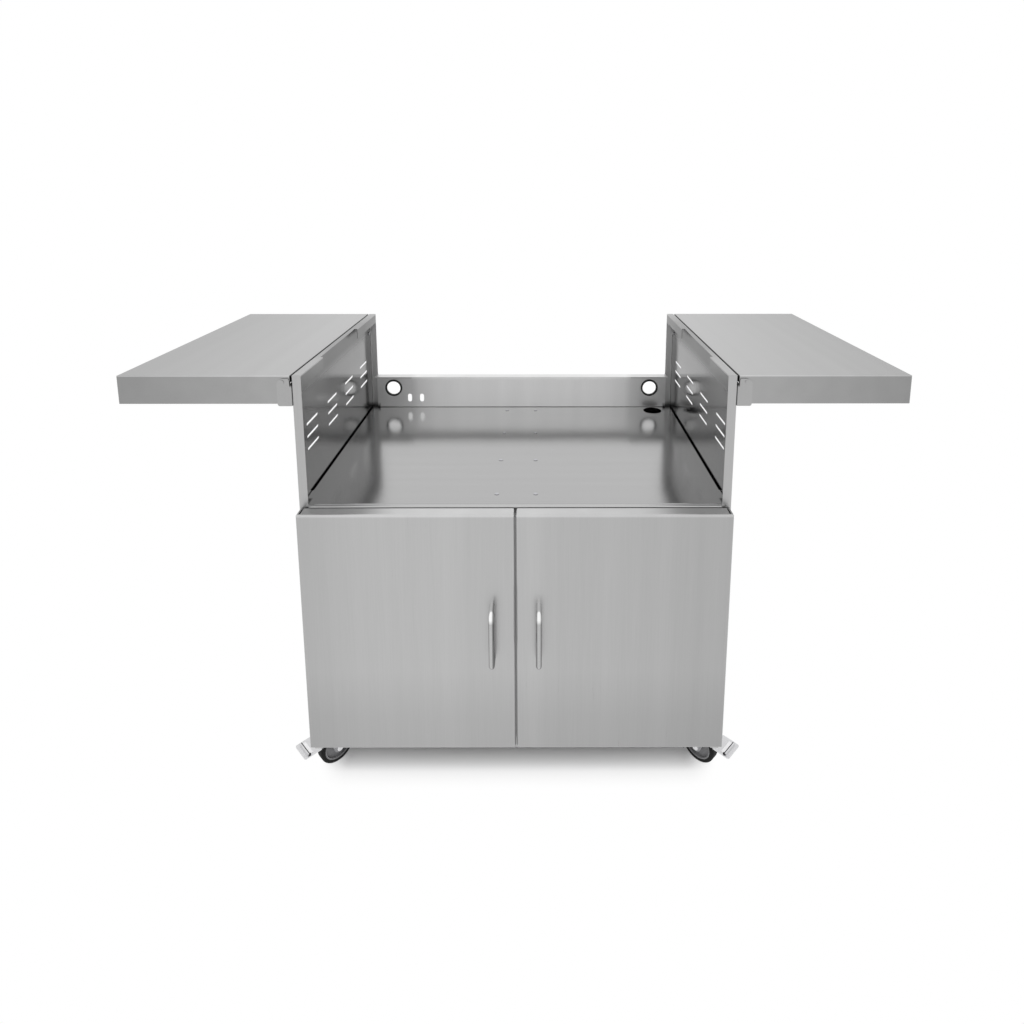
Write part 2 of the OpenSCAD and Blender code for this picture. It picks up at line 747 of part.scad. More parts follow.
module magnet_strike(side) {
    color(zinc) in_cart() on_side(side)
        translate([handle_x - stiff_w / 2 + fold_r, door_back_y, catch_top - catch_h])
            cube([stiff_w - 2 * fold_r, strike_t, catch_h]);
}

// Shelves, drawn for the right-hand shelf

module shelf(side) {
    color(steel) in_cart() on_side(side) difference() {
        translate([shelf_in_x, 0, cart_h - shelf_h]) fold_pan(shelf_w, panel_d, shelf_h);
        // The panel edge is open below its lip, between the front and rear skirts
        translate([shelf_in_x - cut, sheet_t, cart_h - shelf_h - cut])
            cube([sheet_t + fold_r + cut, panel_d - 2 * sheet_t, shelf_h - shelf_lip_h + cut]);
        // The skirts are rounded about the pivot, to clear the panel as the shelf drops
        translate([0, -cut, 0]) rotate([-90, 0, 0]) linear_extrude(panel_d + 2 * cut) difference() {
            translate([shelf_in_x - cut, -pivot_z]) square([pivot_arc + cut, pivot_arc + cut]);
            translate([pivot_x, -pivot_z]) circle(pivot_arc);
        }
        translate([pivot_x, -cut, pivot_z]) rotate([-90, 0, 0])
            linear_extrude(panel_d + 2 * cut) lock_slot();
        for (rear = [false, true]) at_end(rear) translate([pivot_x, -cut, pivot_z])
            rotate([-90, 0, 0]) cylinder(r = pivot_r + pin_clear, h = sheet_t + 2 * cut);
    }
}

// Open-ended slot in the skirts, in which the shelf runs past its lock pins
module lock_slot() {
    reach = lock_r + run;
    intersection() {
        difference() {
            circle(lock_arc + reach);
            circle(lock_arc - reach);
        }
        translate([-pivot_arc - cut, -lock_arc - reach])
            square([pivot_arc + cut + lock_x, lock_arc + reach]);
    }
    translate([lock_x, -lock_up]) circle(reach);
}

module shelf_stiffener(side) {
    end = sheet_t + fold_in + seat;
    color(steel) in_cart() on_side(side)
        translate([shelf_in_x + shelf_w / 2, panel_d - end, cart_h - 2 * sheet_t - seat])
            rotate([90, 0, 0]) linear_extrude(panel_d - 2 * end)
                hat_section(shelf_hat_w, shelf_hat_h, shelf_hat_brim);
}

// Face of a shelf bracket, x out from the side panel and y up from its foot
module bracket_outline() {
    h = bracket_top_z - bracket_z;
    top_r = 12;
    foot_r = 4;
    relief_w = 5.3;
    relief_h = 14;
    difference() {
        square([bracket_w, h]);
        translate([bracket_w - top_r, h - top_r]) difference() {
            square(top_r + cut);
            circle(top_r);
        }
        translate([bracket_w - foot_r, -cut]) difference() {
            square([foot_r + cut, foot_r + cut]);
            translate([0, foot_r + cut]) circle(foot_r);
        }
        translate([-cut, h + cut]) polygon([[0, 0], [relief_w + 2 * cut, 0], [relief_w + cut, -cut],
            [cut, -relief_h - cut], [0, -relief_h - cut]]);
    }
}

module shelf_brackets(side) {
    h = bracket_top_z - bracket_z;
    flange_h = cart_h - bracket_flange_drop - bracket_z;
    flange_l = bracket_flange_l + bracket_face;
    color(steel) in_cart() on_side(side) for (rear = [false, true]) at_end(rear) difference() {
        translate([half_out, -run, bracket_z]) intersection() {
            translate([0, -bracket_t, 0]) linear_extrude(h) translate([bracket_w, 0]) mirror([1, 0])
                folded([[bracket_w - fold_r, 1], [flange_l - fold_r, 0]], bracket_t);
            union() {
                translate([0, fold_r, 0]) rotate([90, 0, 0]) linear_extrude(2 * fold_r + bracket_t)
                    bracket_outline();
                translate([0, -bracket_t, 0])
                    cube([bracket_t, flange_l, flange_h]);
            }
        }
        translate([pivot_x, -bracket_face - cut, pivot_z]) rotate([-90, 0, 0])
            cylinder(r = pivot_r + pin_clear, h = bracket_t + 2 * cut);
        translate([pivot_x + lock_x, -bracket_face - cut, pivot_z + lock_up]) rotate([-90, 0, 0])
            cylinder(r = lock_r + pin_clear, h = bracket_t + 2 * cut);
        for (z = bracket_screw_z) translate([half_out - cut, bracket_screw_y, z]) rotate([0, 90, 0])
            cylinder(r = bracket_screw_r + screw_clear, h = bracket_t + 2 * cut, $fn = 24);
    }
}

module bracket_screws() {
    grip = sheet_t + bracket_t;
    color(zinc) in_cart() for (side = [left, right], rear = [false, true], z = bracket_screw_z)
        on_side(side) at_end(rear) translate([wall_in, bracket_screw_y, z]) rotate([0, 90, 0]) {
            screw(bracket_screw_r, grip + 4, 4.6, 2.4, $fn = 24);
            translate([0, 0, grip + seat]) cylinder(r = 4.6, h = 3, $fn = 6);
        }
}

// Pivot pins, riveted flush in the brackets, with a collar inside the shelf skirt
module shelf_pivot_pins() {
    collar_r = 7;
    collar_h = 3;
    inside = sheet_t + run;
    color(zinc) in_cart() for (side = [left, right], rear = [false, true])
        on_side(side) at_end(rear) translate([pivot_x, -bracket_face, pivot_z]) rotate([-90, 0, 0]) {
            cylinder(r = pivot_r, h = bracket_face + inside + collar_h);
            translate([0, 0, bracket_face + inside]) cylinder(r = collar_r, h = collar_h);
        }
}

// Lock pins, riveted in the brackets, that stand in the slots of the shelf skirts
module shelf_lock_pins() {
    color(bright_steel) in_cart() for (side = [left, right], rear = [false, true])
        on_side(side) at_end(rear) translate([pivot_x + lock_x, -bracket_face, pivot_z + lock_up])
            rotate([-90, 0, 0]) screw(lock_r, bracket_face + sheet_t + run, lock_head_r, lock_head_h);
}

// Casters. Each is drawn about its swivel axis, with its wheel trailing along +x.

module at_caster(side, rear) {
    turn = rear ? 90 : -90 + caster_turn;
    in_cart() on_side(side) translate([caster_x, rear ? panel_d - caster_end : caster_end, 0])
        rotate(turn) children();
}

module caster_plate(side, rear) {
    p = plate_bolt_pitch / 2;
    color(zinc) in_cart() on_side(side) at_end(rear) translate([caster_x, caster_end, 0]) {
        translate([0, 0, caster_h - plate_t]) difference() {
            translate([-plate_w / 2, -plate_w / 2, 0]) linear_extrude(plate_t)
                round_rect(plate_w, plate_w, 6);
            for (x = [-p, p], y = [-p, p]) translate([x, y, -cut])
                cylinder(r = bolt_r + screw_clear, h = plate_t + 2 * cut, $fn = 24);
        }
        translate([0, 0, caster_h - plate_t - race_h]) rotate_extrude()
            polygon([[0, 0], [race_r - 4, 0], [race_r, 3], [race_r, race_h], [0, race_h]]);
    }
}

module caster_fork(side, rear) {
    crown_r = 25;
    crown_tail_r = 20;
    boss_r = 11;
    cheek_h = 10;
    cheek_back = 16;
    cheek_l = caster_trail + cheek_back + 18;
    fork_w = fork_gap + 2 * fork_t;
    color(zinc) at_caster(side, rear) difference() {
        union() {
            // Crown, under the race
            translate([0, 0, crown_z - fork_t]) linear_extrude(fork_t) intersection() {
                hull() {
                    circle(crown_r, $fn = 32);
                    translate([caster_trail, 0]) circle(crown_tail_r, $fn = 32);
                }
                square([4 * crown_r + caster_trail, fork_w], center = true);
            }
            for (y = [-fork_gap / 2, fork_gap / 2 + fork_t])
                translate([0, y, 0]) rotate([90, 0, 0]) linear_extrude(fork_t) hull() {
                    translate([caster_trail, wheel_r]) circle(boss_r, $fn = 32);
                    translate([-cheek_back, crown_z - cheek_h]) square([cheek_l, cheek_h - fork_t / 2]);
                    if (!rear) translate([pedal_pin_x, pedal_pin_z]) circle(pedal_ear_r, $fn = 32);
                }
        }
        translate([caster_trail, -fork_gap, wheel_r]) rotate([-90, 0, 0])
            cylinder(r = axle_r + pin_clear, h = 2 * fork_gap);
        if (!rear) translate([pedal_pin_x, -fork_gap, pedal_pin_z]) rotate([-90, 0, 0])
            cylinder(r = pedal_pin_r + pin_clear, h = 2 * fork_gap);
    }
}

module caster_axle(side, rear) {
    span = fork_gap + 2 * fork_t;
    color(zinc) at_caster(side, rear) translate([caster_trail, -span / 2, wheel_r]) rotate([-90, 0, 0]) {
        screw(axle_r, span + 6, 6.5, 4);
        translate([0, 0, span]) cylinder(r = 7.2, h = 5, $fn = 6);
    }
}

module wheel_hub(side, rear) {
    boss = fork_gap - 2 * run;
    color(grey_plastic) at_caster(side, rear) translate([caster_trail, 0, wheel_r]) rotate([-90, 0, 0])
        rotate_extrude() difference() {
            translate([axle_r + pin_clear, -boss / 2]) square([hub_r - axle_r - pin_clear - seat, boss]);
            for (y = [-1, 1]) translate([11, y > 0 ? 5 : -boss / 2 - cut])
                square([hub_r - 14, boss / 2 - 5 + cut]);
            for (y = [-1, 1]) translate([hub_r - 3.5, y > 0 ? wheel_w / 2 - 1 : -boss / 2 - cut])
                square([5, boss / 2 - wheel_w / 2 + 1 + cut]);
        }
}

module tyre(side, rear) {
    edge_r = 5;
    half = wheel_w / 2;
    color(black_rubber) at_caster(side, rear) translate([caster_trail, 0, wheel_r]) rotate([-90, 0, 0])
        rotate_extrude() {
            translate([hub_r, -half]) square([wheel_r - edge_r - hub_r, wheel_w]);
            translate([hub_r, -half + edge_r]) square([wheel_r - hub_r, wheel_w - 2 * edge_r]);
            for (y = [-half + edge_r, half - edge_r]) intersection() {
                translate([wheel_r - edge_r, y]) circle(edge_r);
                translate([wheel_r - edge_r, -half]) square([edge_r, wheel_w]);
            }
        }
}

// Side outline of the pedal's pressed plate: a top over the pin and a slope to the tread
module pedal_outline() {
    top = pedal_ear_r;
    knee = 10;
    heel = 21;
    polygon([[-pedal_ear_r + 2, top - pedal_t], [knee - 1, top - pedal_t],
        [heel - 1, -pedal_drop - pedal_t], [heel + 2, -pedal_drop - pedal_t], [heel + 2, -pedal_drop],
        [heel, -pedal_drop], [knee, top], [-pedal_ear_r + 2, top]]);
}

// Brake pedal: a pressed plate with two ears on a pin through the fork
module brake_pedal(side) {
    neck_w = fork_gap - 2 * run;
    tread_x = 20;
    tread_l = pedal_reach - pedal_pin_x - tread_x;
    rib_h = 3;
    pin_l = fork_gap + 2 * fork_t + 2;
    color(bright_steel) at_caster(side, false) translate([pedal_pin_x, 0, pedal_pin_z]) {
        difference() {
            union() {
                translate([0, neck_w / 2, 0]) rotate([90, 0, 0]) linear_extrude(neck_w) pedal_outline();
                translate([tread_x, -pedal_w / 2, -pedal_drop - pedal_t]) linear_extrude(pedal_t)
                    round_rect(tread_l, pedal_w, 4);
                translate([tread_x + tread_l - 11, -pedal_w / 2 + 4, -pedal_drop - pedal_t])
                    cube([3, pedal_w - 8, pedal_t + rib_h]);
                for (y = [-neck_w / 2, neck_w / 2 - pedal_ear_t]) translate([0, y, 0]) {
                    rotate([-90, 0, 0]) cylinder(r = pedal_ear_r, h = pedal_ear_t);
                    translate([-pedal_ear_r + 2, 0, 0])
                        cube([pedal_ear_r + 7, pedal_ear_t, pedal_ear_r - pedal_t / 2]);
                }
            }
            translate([tread_x + tread_l - 16, 0, -pedal_drop - pedal_t - cut])
                linear_extrude(pedal_t + 2 * cut) rotate(90) slot_shape(pedal_w - 16, 4);
        }
        translate([0, -pin_l / 2, 0]) rotate([-90, 0, 0]) cylinder(r = pedal_pin_r, h = pin_l);
    }
}

side_panel(left);  // side_panel_left
side_panel(right);  // side_panel_right
front_rail();
deck();
deck_stiffener();
deck_screws();
back_rail();
back_panel();
bottom_pan();
base_rail(left);  // base_rail_left
base_rail(right);  // base_rail_right
hose_grommets();
shelf_brackets(left);  // shelf_brackets_left
shelf_brackets(right);  // shelf_brackets_right
bracket_screws();
shelf_pivot_pins();
shelf_lock_pins();
hinge_brackets();
hinge_pins();
magnet_catches();
caster_bolts();
caster_plate(left, false);  // caster_plate_front_left
caster_plate(right, false);  // caster_plate_front_right
caster_plate(left, true);  // caster_plate_rear_left
caster_plate(right, true);  // caster_plate_rear_right
door(left);  // door_left
door_stiffener(left);  // door_stiffener_left
hinge_plates(left);  // hinge_plates_left
handle(left);  // handle_left
handle_screws(left);  // handle_screws_left
magnet_strike(left);  // magnet_strike_left
door(right);  // door_right
door_stiffener(right);  // door_stiffener_right
hinge_plates(right);  // hinge_plates_right
handle(right);  // handle_right
handle_screws(right);  // handle_screws_right
magnet_strike(right);  // magnet_strike_right
shelf(left);  // shelf_left
shelf_stiffener(left);  // shelf_stiffener_left
shelf(right);  // shelf_right
shelf_stiffener(right);  // shelf_stiffener_right
caster_fork(left, false);  // caster_fork_front_left
caster_fork(right, false);  // caster_fork_front_right
caster_fork(left, true);  // caster_fork_rear_left
caster_fork(right, true);  // caster_fork_rear_right
caster_axle(left, false);  // caster_axle_front_left
caster_axle(right, false);  // caster_axle_front_right
caster_axle(left, true);  // caster_axle_rear_left
caster_axle(right, true);  // caster_axle_rear_right
wheel_hub(left, false);  // wheel_hub_front_left
wheel_hub(right, false);  // wheel_hub_front_right
wheel_hub(left, true);  // wheel_hub_rear_left
wheel_hub(right, true);  // wheel_hub_rear_right
tyre(left, false);  // tyre_front_left
tyre(right, false);  // tyre_front_right
tyre(left, true);  // tyre_rear_left
tyre(right, true);  // tyre_rear_right
brake_pedal(left);  // brake_pedal_left
brake_pedal(right);  // brake_pedal_right
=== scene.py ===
import math

import bmesh
import bpy
from mathutils import Matrix, Vector


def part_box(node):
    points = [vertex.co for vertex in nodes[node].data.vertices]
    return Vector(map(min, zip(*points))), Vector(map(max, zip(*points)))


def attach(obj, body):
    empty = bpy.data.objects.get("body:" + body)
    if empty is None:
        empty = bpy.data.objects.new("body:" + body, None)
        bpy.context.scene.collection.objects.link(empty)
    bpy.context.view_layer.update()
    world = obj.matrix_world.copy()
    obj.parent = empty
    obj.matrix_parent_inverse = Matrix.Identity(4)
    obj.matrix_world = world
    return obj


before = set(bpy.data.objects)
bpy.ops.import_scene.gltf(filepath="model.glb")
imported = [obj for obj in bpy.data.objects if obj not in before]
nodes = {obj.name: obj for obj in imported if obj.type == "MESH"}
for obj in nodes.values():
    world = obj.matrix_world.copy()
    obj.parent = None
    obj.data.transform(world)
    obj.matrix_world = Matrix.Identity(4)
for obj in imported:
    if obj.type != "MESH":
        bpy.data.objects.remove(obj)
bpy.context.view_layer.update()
scene = bpy.context.scene


# Camera: the photographer stands in front of the bay, a little right of its middle
# and 1.24 m above the floor, and looks slightly down. The photograph is cropped
# from a larger frame, which the two shifts stand for.
camera_data = bpy.data.cameras.new("camera")
camera_data.sensor_width = 36.0
camera_data.lens = 22.887
camera_data.shift_x = -0.0242
camera_data.shift_y = -0.2166
camera = bpy.data.objects.new("camera", camera_data)
camera.location = (0.0384, -1.4102, 1.2364)
camera.rotation_euler = (math.radians(90.0 - 9.402), 0.0, math.radians(-0.112))
scene.collection.objects.link(camera)
scene.camera = camera


# Floor: pale matt paint that takes the cart's shadow. Round the cart it fades to the
# plain white of a studio ground.
def new_material(name, color, roughness, metallic=0.0):
    """A material, its node tree and its shader."""
    material = bpy.data.materials.new(name)
    material.use_nodes = True
    tree = material.node_tree
    shader = tree.nodes["Principled BSDF"]
    shader.inputs["Base Color"].default_value = (*color, 1.0)
    shader.inputs["Roughness"].default_value = roughness
    shader.inputs["Metallic"].default_value = metallic
    return material, tree, shader


def add_node(tree, kind, **values):
    """A node with some of its own settings."""
    node = tree.nodes.new(kind)
    for key, value in values.items():
        setattr(node, key, value)
    return node


FLOOR_HALF = 12.0
floor_bm = bmesh.new()
bmesh.ops.create_grid(floor_bm, x_segments=1, y_segments=1, size=FLOOR_HALF)
floor_mesh = bpy.data.meshes.new("floor")
floor_bm.to_mesh(floor_mesh)
floor_bm.free()
floor = bpy.data.objects.new("floor", floor_mesh)
scene.collection.objects.link(floor)
floor_white, floor_tree, floor_shader = new_material("floor_white", (0.93, 0.93, 0.93), 0.9)
floor_mesh.materials.append(floor_white)

SHADED_MIDDLE = (0.0, 0.11, 0.0)
SHADED_HALF = (0.36, 0.295, 0.0)
FADE_WIDTH = 0.07
floor_at = add_node(floor_tree, "ShaderNodeTexCoord")
centred = add_node(floor_tree, "ShaderNodeVectorMath", operation="SUBTRACT")
centred.inputs[1].default_value = SHADED_MIDDLE
floor_tree.links.new(floor_at.outputs["Object"], centred.inputs[0])
mirrored = add_node(floor_tree, "ShaderNodeVectorMath", operation="ABSOLUTE")
floor_tree.links.new(centred.outputs[0], mirrored.inputs[0])
past = add_node(floor_tree, "ShaderNodeVectorMath", operation="SUBTRACT")
past.inputs[1].default_value = SHADED_HALF
floor_tree.links.new(mirrored.outputs[0], past.inputs[0])
outside = add_node(floor_tree, "ShaderNodeVectorMath", operation="MAXIMUM")
outside.inputs[1].default_value = (0.0, 0.0, 0.0)
floor_tree.links.new(past.outputs[0], outside.inputs[0])
away = add_node(floor_tree, "ShaderNodeVectorMath", operation="LENGTH")
floor_tree.links.new(outside.outputs[0], away.inputs[0])
fade = add_node(floor_tree, "ShaderNodeMapRange", interpolation_type="SMOOTHSTEP")
fade.inputs["From Max"].default_value = FADE_WIDTH
floor_tree.links.new(away.outputs["Value"], fade.inputs["Value"])
plain_white = add_node(floor_tree, "ShaderNodeEmission")
floor_mix = add_node(floor_tree, "ShaderNodeMixShader")
floor_tree.links.new(fade.outputs[0], floor_mix.inputs[0])
floor_tree.links.new(floor_shader.outputs[0], floor_mix.inputs[1])
floor_tree.links.new(plain_white.outputs[0], floor_mix.inputs[2])
floor_tree.links.new(floor_mix.outputs[0], floor_tree.nodes["Material Output"].inputs[0])


# Light: a white room that fills in from all sides, and one wide soft lamp high in
# front of the cart, which reaches a little way under the doors.
world = bpy.data.worlds.new("room")
world.use_nodes = True
scene.world = world
room = world.node_tree
room_light = room.nodes["Background"]
room_light.inputs["Color"].default_value = (1.0, 1.0, 1.0, 1.0)
room_light.inputs["Strength"].default_value = 0.6
room_seen = add_node(room, "ShaderNodeBackground")
room_seen.inputs["Color"].default_value = (1.0, 1.0, 1.0, 1.0)
ray = add_node(room, "ShaderNodeLightPath")
seen = add_node(room, "ShaderNodeMath", operation="MAXIMUM")
room.links.new(ray.outputs["Is Camera Ray"], seen.inputs[0])
room.links.new(ray.outputs["Is Glossy Ray"], seen.inputs[1])
seen_through = add_node(room, "ShaderNodeMath", operation="MAXIMUM")
room.links.new(seen.outputs[0], seen_through.inputs[0])
room.links.new(ray.outputs["Is Transmission Ray"], seen_through.inputs[1])
room_mix = add_node(room, "ShaderNodeMixShader")
room.links.new(seen_through.outputs[0], room_mix.inputs[0])
room.links.new(room_light.outputs[0], room_mix.inputs[1])
room.links.new(room_seen.outputs[0], room_mix.inputs[2])
room.links.new(room_mix.outputs[0], room.nodes["World Output"].inputs[0])

lamp_data = bpy.data.lights.new("soft_lamp", "AREA")
lamp_data.shape = "RECTANGLE"
lamp_data.size = 3.0
lamp_data.size_y = 1.1
lamp_data.energy = 130.0
lamp = bpy.data.objects.new("soft_lamp", lamp_data)
lamp.location = (0.0, -2.6, 3.2)
lamp_aim = Vector((0.0, -0.2, 0.0)) - lamp.location
lamp.rotation_euler = lamp_aim.to_track_quat("-Z", "Y").to_euler()
lamp.visible_glossy = False
scene.collection.objects.link(lamp)
scene.view_settings.view_transform = "Standard"


# Side panels: stainless sheet, folded into a tall channel and punched with vent
# slots, with the mill's fine grain running up the sheet. The bay side is almost a mirror.
BROAD_STREAKS = 0.03
GRAIN_LOW = 0.6
GRAIN_HIGH = 1.4
GLOSS_SWING = 0.15
GRAIN_RELIEF = 0.0002


def grain(tree, shader, run, tone, spread, depth):
    """Brushed grain on a metal.

    Its colour, roughness and small relief follow fine lines and broad soft streaks,
    both of them noise that is stretched along the sheet.
    """
    at = add_node(tree, "ShaderNodeTexCoord")
    stretch = add_node(tree, "ShaderNodeMapping")
    stretch.inputs["Scale"].default_value = run
    tree.links.new(at.outputs["Object"], stretch.inputs["Vector"])
    lines = add_node(tree, "ShaderNodeTexNoise")
    lines.inputs["Scale"].default_value = 1.0
    lines.inputs["Detail"].default_value = 3.0
    tree.links.new(stretch.outputs[0], lines.inputs["Vector"])
    broad = add_node(tree, "ShaderNodeMapping")
    broad.inputs["Scale"].default_value = [BROAD_STREAKS * per_metre for per_metre in run]
    tree.links.new(at.outputs["Object"], broad.inputs["Vector"])
    streaks = add_node(tree, "ShaderNodeTexNoise")
    streaks.inputs["Scale"].default_value = 1.0
    streaks.inputs["Detail"].default_value = 1.0
    tree.links.new(broad.outputs[0], streaks.inputs["Vector"])
    both = add_node(tree, "ShaderNodeMath", operation="ADD")
    tree.links.new(lines.outputs["Fac"], both.inputs[0])
    tree.links.new(streaks.outputs["Fac"], both.inputs[1])
    shade = add_node(tree, "ShaderNodeMapRange")
    shade.inputs["From Min"].default_value = GRAIN_LOW
    shade.inputs["From Max"].default_value = GRAIN_HIGH
    tree.links.new(both.outputs[0], shade.inputs["Value"])
    ramp = add_node(tree, "ShaderNodeValToRGB")
    darkest, brightest = ramp.color_ramp.elements
    darkest.color = (*[c * (1.0 - spread) for c in tone], 1.0)
    brightest.color = (*[min(1.0, c * (1.0 + spread)) for c in tone], 1.0)
    tree.links.new(shade.outputs[0], ramp.inputs["Fac"])
    tree.links.new(ramp.outputs["Color"], shader.inputs["Base Color"])
    gloss = add_node(tree, "ShaderNodeMapRange")
    base = shader.inputs["Roughness"].default_value
    gloss.inputs["To Min"].default_value = base * (1.0 - GLOSS_SWING)
    gloss.inputs["To Max"].default_value = base * (1.0 + GLOSS_SWING)
    tree.links.new(lines.outputs["Fac"], gloss.inputs["Value"])
    tree.links.new(gloss.outputs[0], shader.inputs["Roughness"])
    relief = add_node(tree, "ShaderNodeBump")
    relief.inputs["Strength"].default_value = depth
    relief.inputs["Distance"].default_value = GRAIN_RELIEF
    tree.links.new(lines.outputs["Fac"], relief.inputs["Height"])
    tree.links.new(relief.outputs[0], shader.inputs["Normal"])


def sheet_steel(name, tone, roughness, run, spread=0.045, depth=0.08):
    """Stainless sheet whose grain is short along one axis and long along another."""
    material, tree, shader = new_material(name, (tone, tone, tone), roughness, metallic=1.0)
    grain(tree, shader, run, (tone, tone, tone), spread, depth)
    return material


def shade_along(material, axis, stops, mirror=False):
    """Paints shade into a material along one axis. Each stop is a place in metres and a share of
    the tone.
    """
    tree = material.node_tree
    at = add_node(tree, "ShaderNodeTexCoord")
    split = add_node(tree, "ShaderNodeSeparateXYZ")
    tree.links.new(at.outputs["Object"], split.inputs[0])
    place = split.outputs[axis]
    if mirror:
        size = add_node(tree, "ShaderNodeMath", operation="ABSOLUTE")
        tree.links.new(place, size.inputs[0])
        place = size.outputs[0]
    span = add_node(tree, "ShaderNodeMapRange")
    first, last = stops[0][0], stops[-1][0]
    span.inputs["From Min"].default_value = first
    span.inputs["From Max"].default_value = last
    tree.links.new(place, span.inputs["Value"])
    shares = add_node(tree, "ShaderNodeValToRGB")
    elements = shares.color_ramp.elements
    while len(elements) < len(stops):
        elements.new(0.5)
    for element, (where, share) in zip(elements, stops):
        element.position = (where - first) / (last - first)
        element.color = (share, share, share, 1.0)
    tree.links.new(span.outputs[0], shares.inputs["Fac"])
    multiply_tone(material, shares.outputs["Color"])


CRISP = 0.0004


def box_mask(tree, low, high, soft=CRISP):
    """A factor that is 0 inside a box and its mirror image and 1 outside.

    The edge is soft over one width, or over a width for each axis.
    """
    widths = soft if isinstance(soft, tuple) else (soft, soft, soft)
    at = add_node(tree, "ShaderNodeTexCoord")
    split = add_node(tree, "ShaderNodeSeparateXYZ")
    tree.links.new(at.outputs["Object"], split.inputs[0])
    outside = None
    for axis in range(3):
        place = split.outputs[axis]
        if axis == 0:
            size = add_node(tree, "ShaderNodeMath", operation="ABSOLUTE")
            tree.links.new(place, size.inputs[0])
            place = size.outputs[0]
        off = add_node(tree, "ShaderNodeMath", operation="SUBTRACT")
        off.inputs[1].default_value = (low[axis] + high[axis]) / 2.0
        tree.links.new(place, off.inputs[0])
        away = add_node(tree, "ShaderNodeMath", operation="ABSOLUTE")
        tree.links.new(off.outputs[0], away.inputs[0])
        past = add_node(tree, "ShaderNodeMath", operation="SUBTRACT")
        past.inputs[1].default_value = (high[axis] - low[axis]) / 2.0
        tree.links.new(away.outputs[0], past.inputs[0])
        widths_past = add_node(tree, "ShaderNodeMath", operation="DIVIDE")
        widths_past.inputs[1].default_value = widths[axis]
        tree.links.new(past.outputs[0], widths_past.inputs[0])
        if outside is None:
            outside = widths_past
            continue
        most = add_node(tree, "ShaderNodeMath", operation="MAXIMUM")
        tree.links.new(outside.outputs[0], most.inputs[0])
        tree.links.new(widths_past.outputs[0], most.inputs[1])
        outside = most
    mask = add_node(tree, "ShaderNodeMapRange")
    mask.inputs["From Min"].default_value = -1.0
    mask.inputs["From Max"].default_value = 0.0
    tree.links.new(outside.outputs[0], mask.inputs["Value"])
    return mask


def multiply_tone(material, factor):
    """Multiplies what already colours a material by another output."""
    tree = material.node_tree
    target = tree.nodes["Principled BSDF"].inputs["Base Color"]
    before = target.links[0].from_socket
    product = add_node(tree, "ShaderNodeMix", data_type="RGBA", blend_type="MULTIPLY")
    product.inputs["Factor"].default_value = 1.0
    colors = [socket for socket in product.inputs if socket.type == "RGBA"]
    tree.links.new(before, colors[0])
    tree.links.new(factor, colors[1])
    tree.links.new([socket for socket in product.outputs if socket.type == "RGBA"][0], target)


def dim_inside(material, share, low, high, soft=CRISP):
    """Paints shade into a material inside a box and its mirror image. A share over 1 paints
    light.
    """
    mask = box_mask(material.node_tree, low, high, soft)
    mask.inputs["To Min"].default_value = share
    multiply_tone(material, mask.outputs[0])


def gloss_inside(material, inside, outside, low, high, soft=CRISP):
    """Sets a material's roughness inside a box and its mirror image, and outside it."""
    mask = box_mask(material.node_tree, low, high, soft)
    mask.inputs["To Min"].default_value = inside
    mask.inputs["To Max"].default_value = outside
    tree = material.node_tree
    tree.links.new(mask.outputs[0], tree.nodes["Principled BSDF"].inputs["Roughness"])


def finish(material, *names):
    """Gives a CAD node's slots one material."""
    for name in names:
        mesh = nodes[name].data
        if not mesh.materials:
            mesh.materials.append(material)
        for i in range(len(mesh.materials)):
            mesh.materials[i] = material


SHEET = 0.0012
LIP_ZONE = 0.03
UPRIGHT = (900.0, 900.0, 9.0)
panel_low, panel_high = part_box("side_panel_right")
panel_steel = sheet_steel("panel_steel", 0.45, 0.1, UPRIGHT)
lip_x, front_y = panel_low[:2]
wall_x, rear_y, panel_top = panel_high
deck_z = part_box("deck")[1][2]

# The bay wall mirrors the dark cabinet, and painted reflection darkens it further, most of all
# toward the rear flange and the top.
WALL_REFLECTION_SHARE = 0.49
WALL_REACH = 0.02
REAR_STRIP = 0.06
UPPER_REAR = (-0.16, 0.7)
wall_low = (wall_x - 2.0 * SHEET, front_y + SHEET, panel_low[2])
wall_high = (wall_x - 0.5 * SHEET, rear_y - SHEET, panel_top - SHEET)
dim_inside(panel_steel, WALL_REFLECTION_SHARE, wall_low, wall_high)
dim_inside(panel_steel, 0.65, (wall_low[0], rear_y - REAR_STRIP, wall_low[2]), wall_high,
           (CRISP, 0.006, CRISP))
dim_inside(panel_steel, 0.7, (wall_low[0] - WALL_REACH, *UPPER_REAR),
           (wall_high[0], rear_y - SHEET, panel_top + 0.2), (CRISP, 0.12, 0.1))
gloss_inside(panel_steel, 0.14, 0.36, wall_low,
             (wall_high[0], wall_high[1], panel_top - 1.2 * LIP_ZONE), (CRISP, CRISP, LIP_ZONE))

# Painted shade on the bay side of the turned-down lips, and in the gap beside the shelf.
dim_inside(panel_steel, 0.5, (lip_x - 0.5 * SHEET, front_y + SHEET, panel_top - LIP_ZONE),
           (lip_x + 0.5 * SHEET, rear_y - SHEET, panel_top - 2.0 * SHEET))
GAP_DEPTH = 0.014
GAP_SHADE = 0.1
dim_inside(panel_steel, GAP_SHADE, (wall_x - 0.2 * SHEET, front_y, panel_top - GAP_DEPTH),
           (wall_x + SHEET, rear_y, panel_top - 1.5 * SHEET), 0.5 * CRISP)
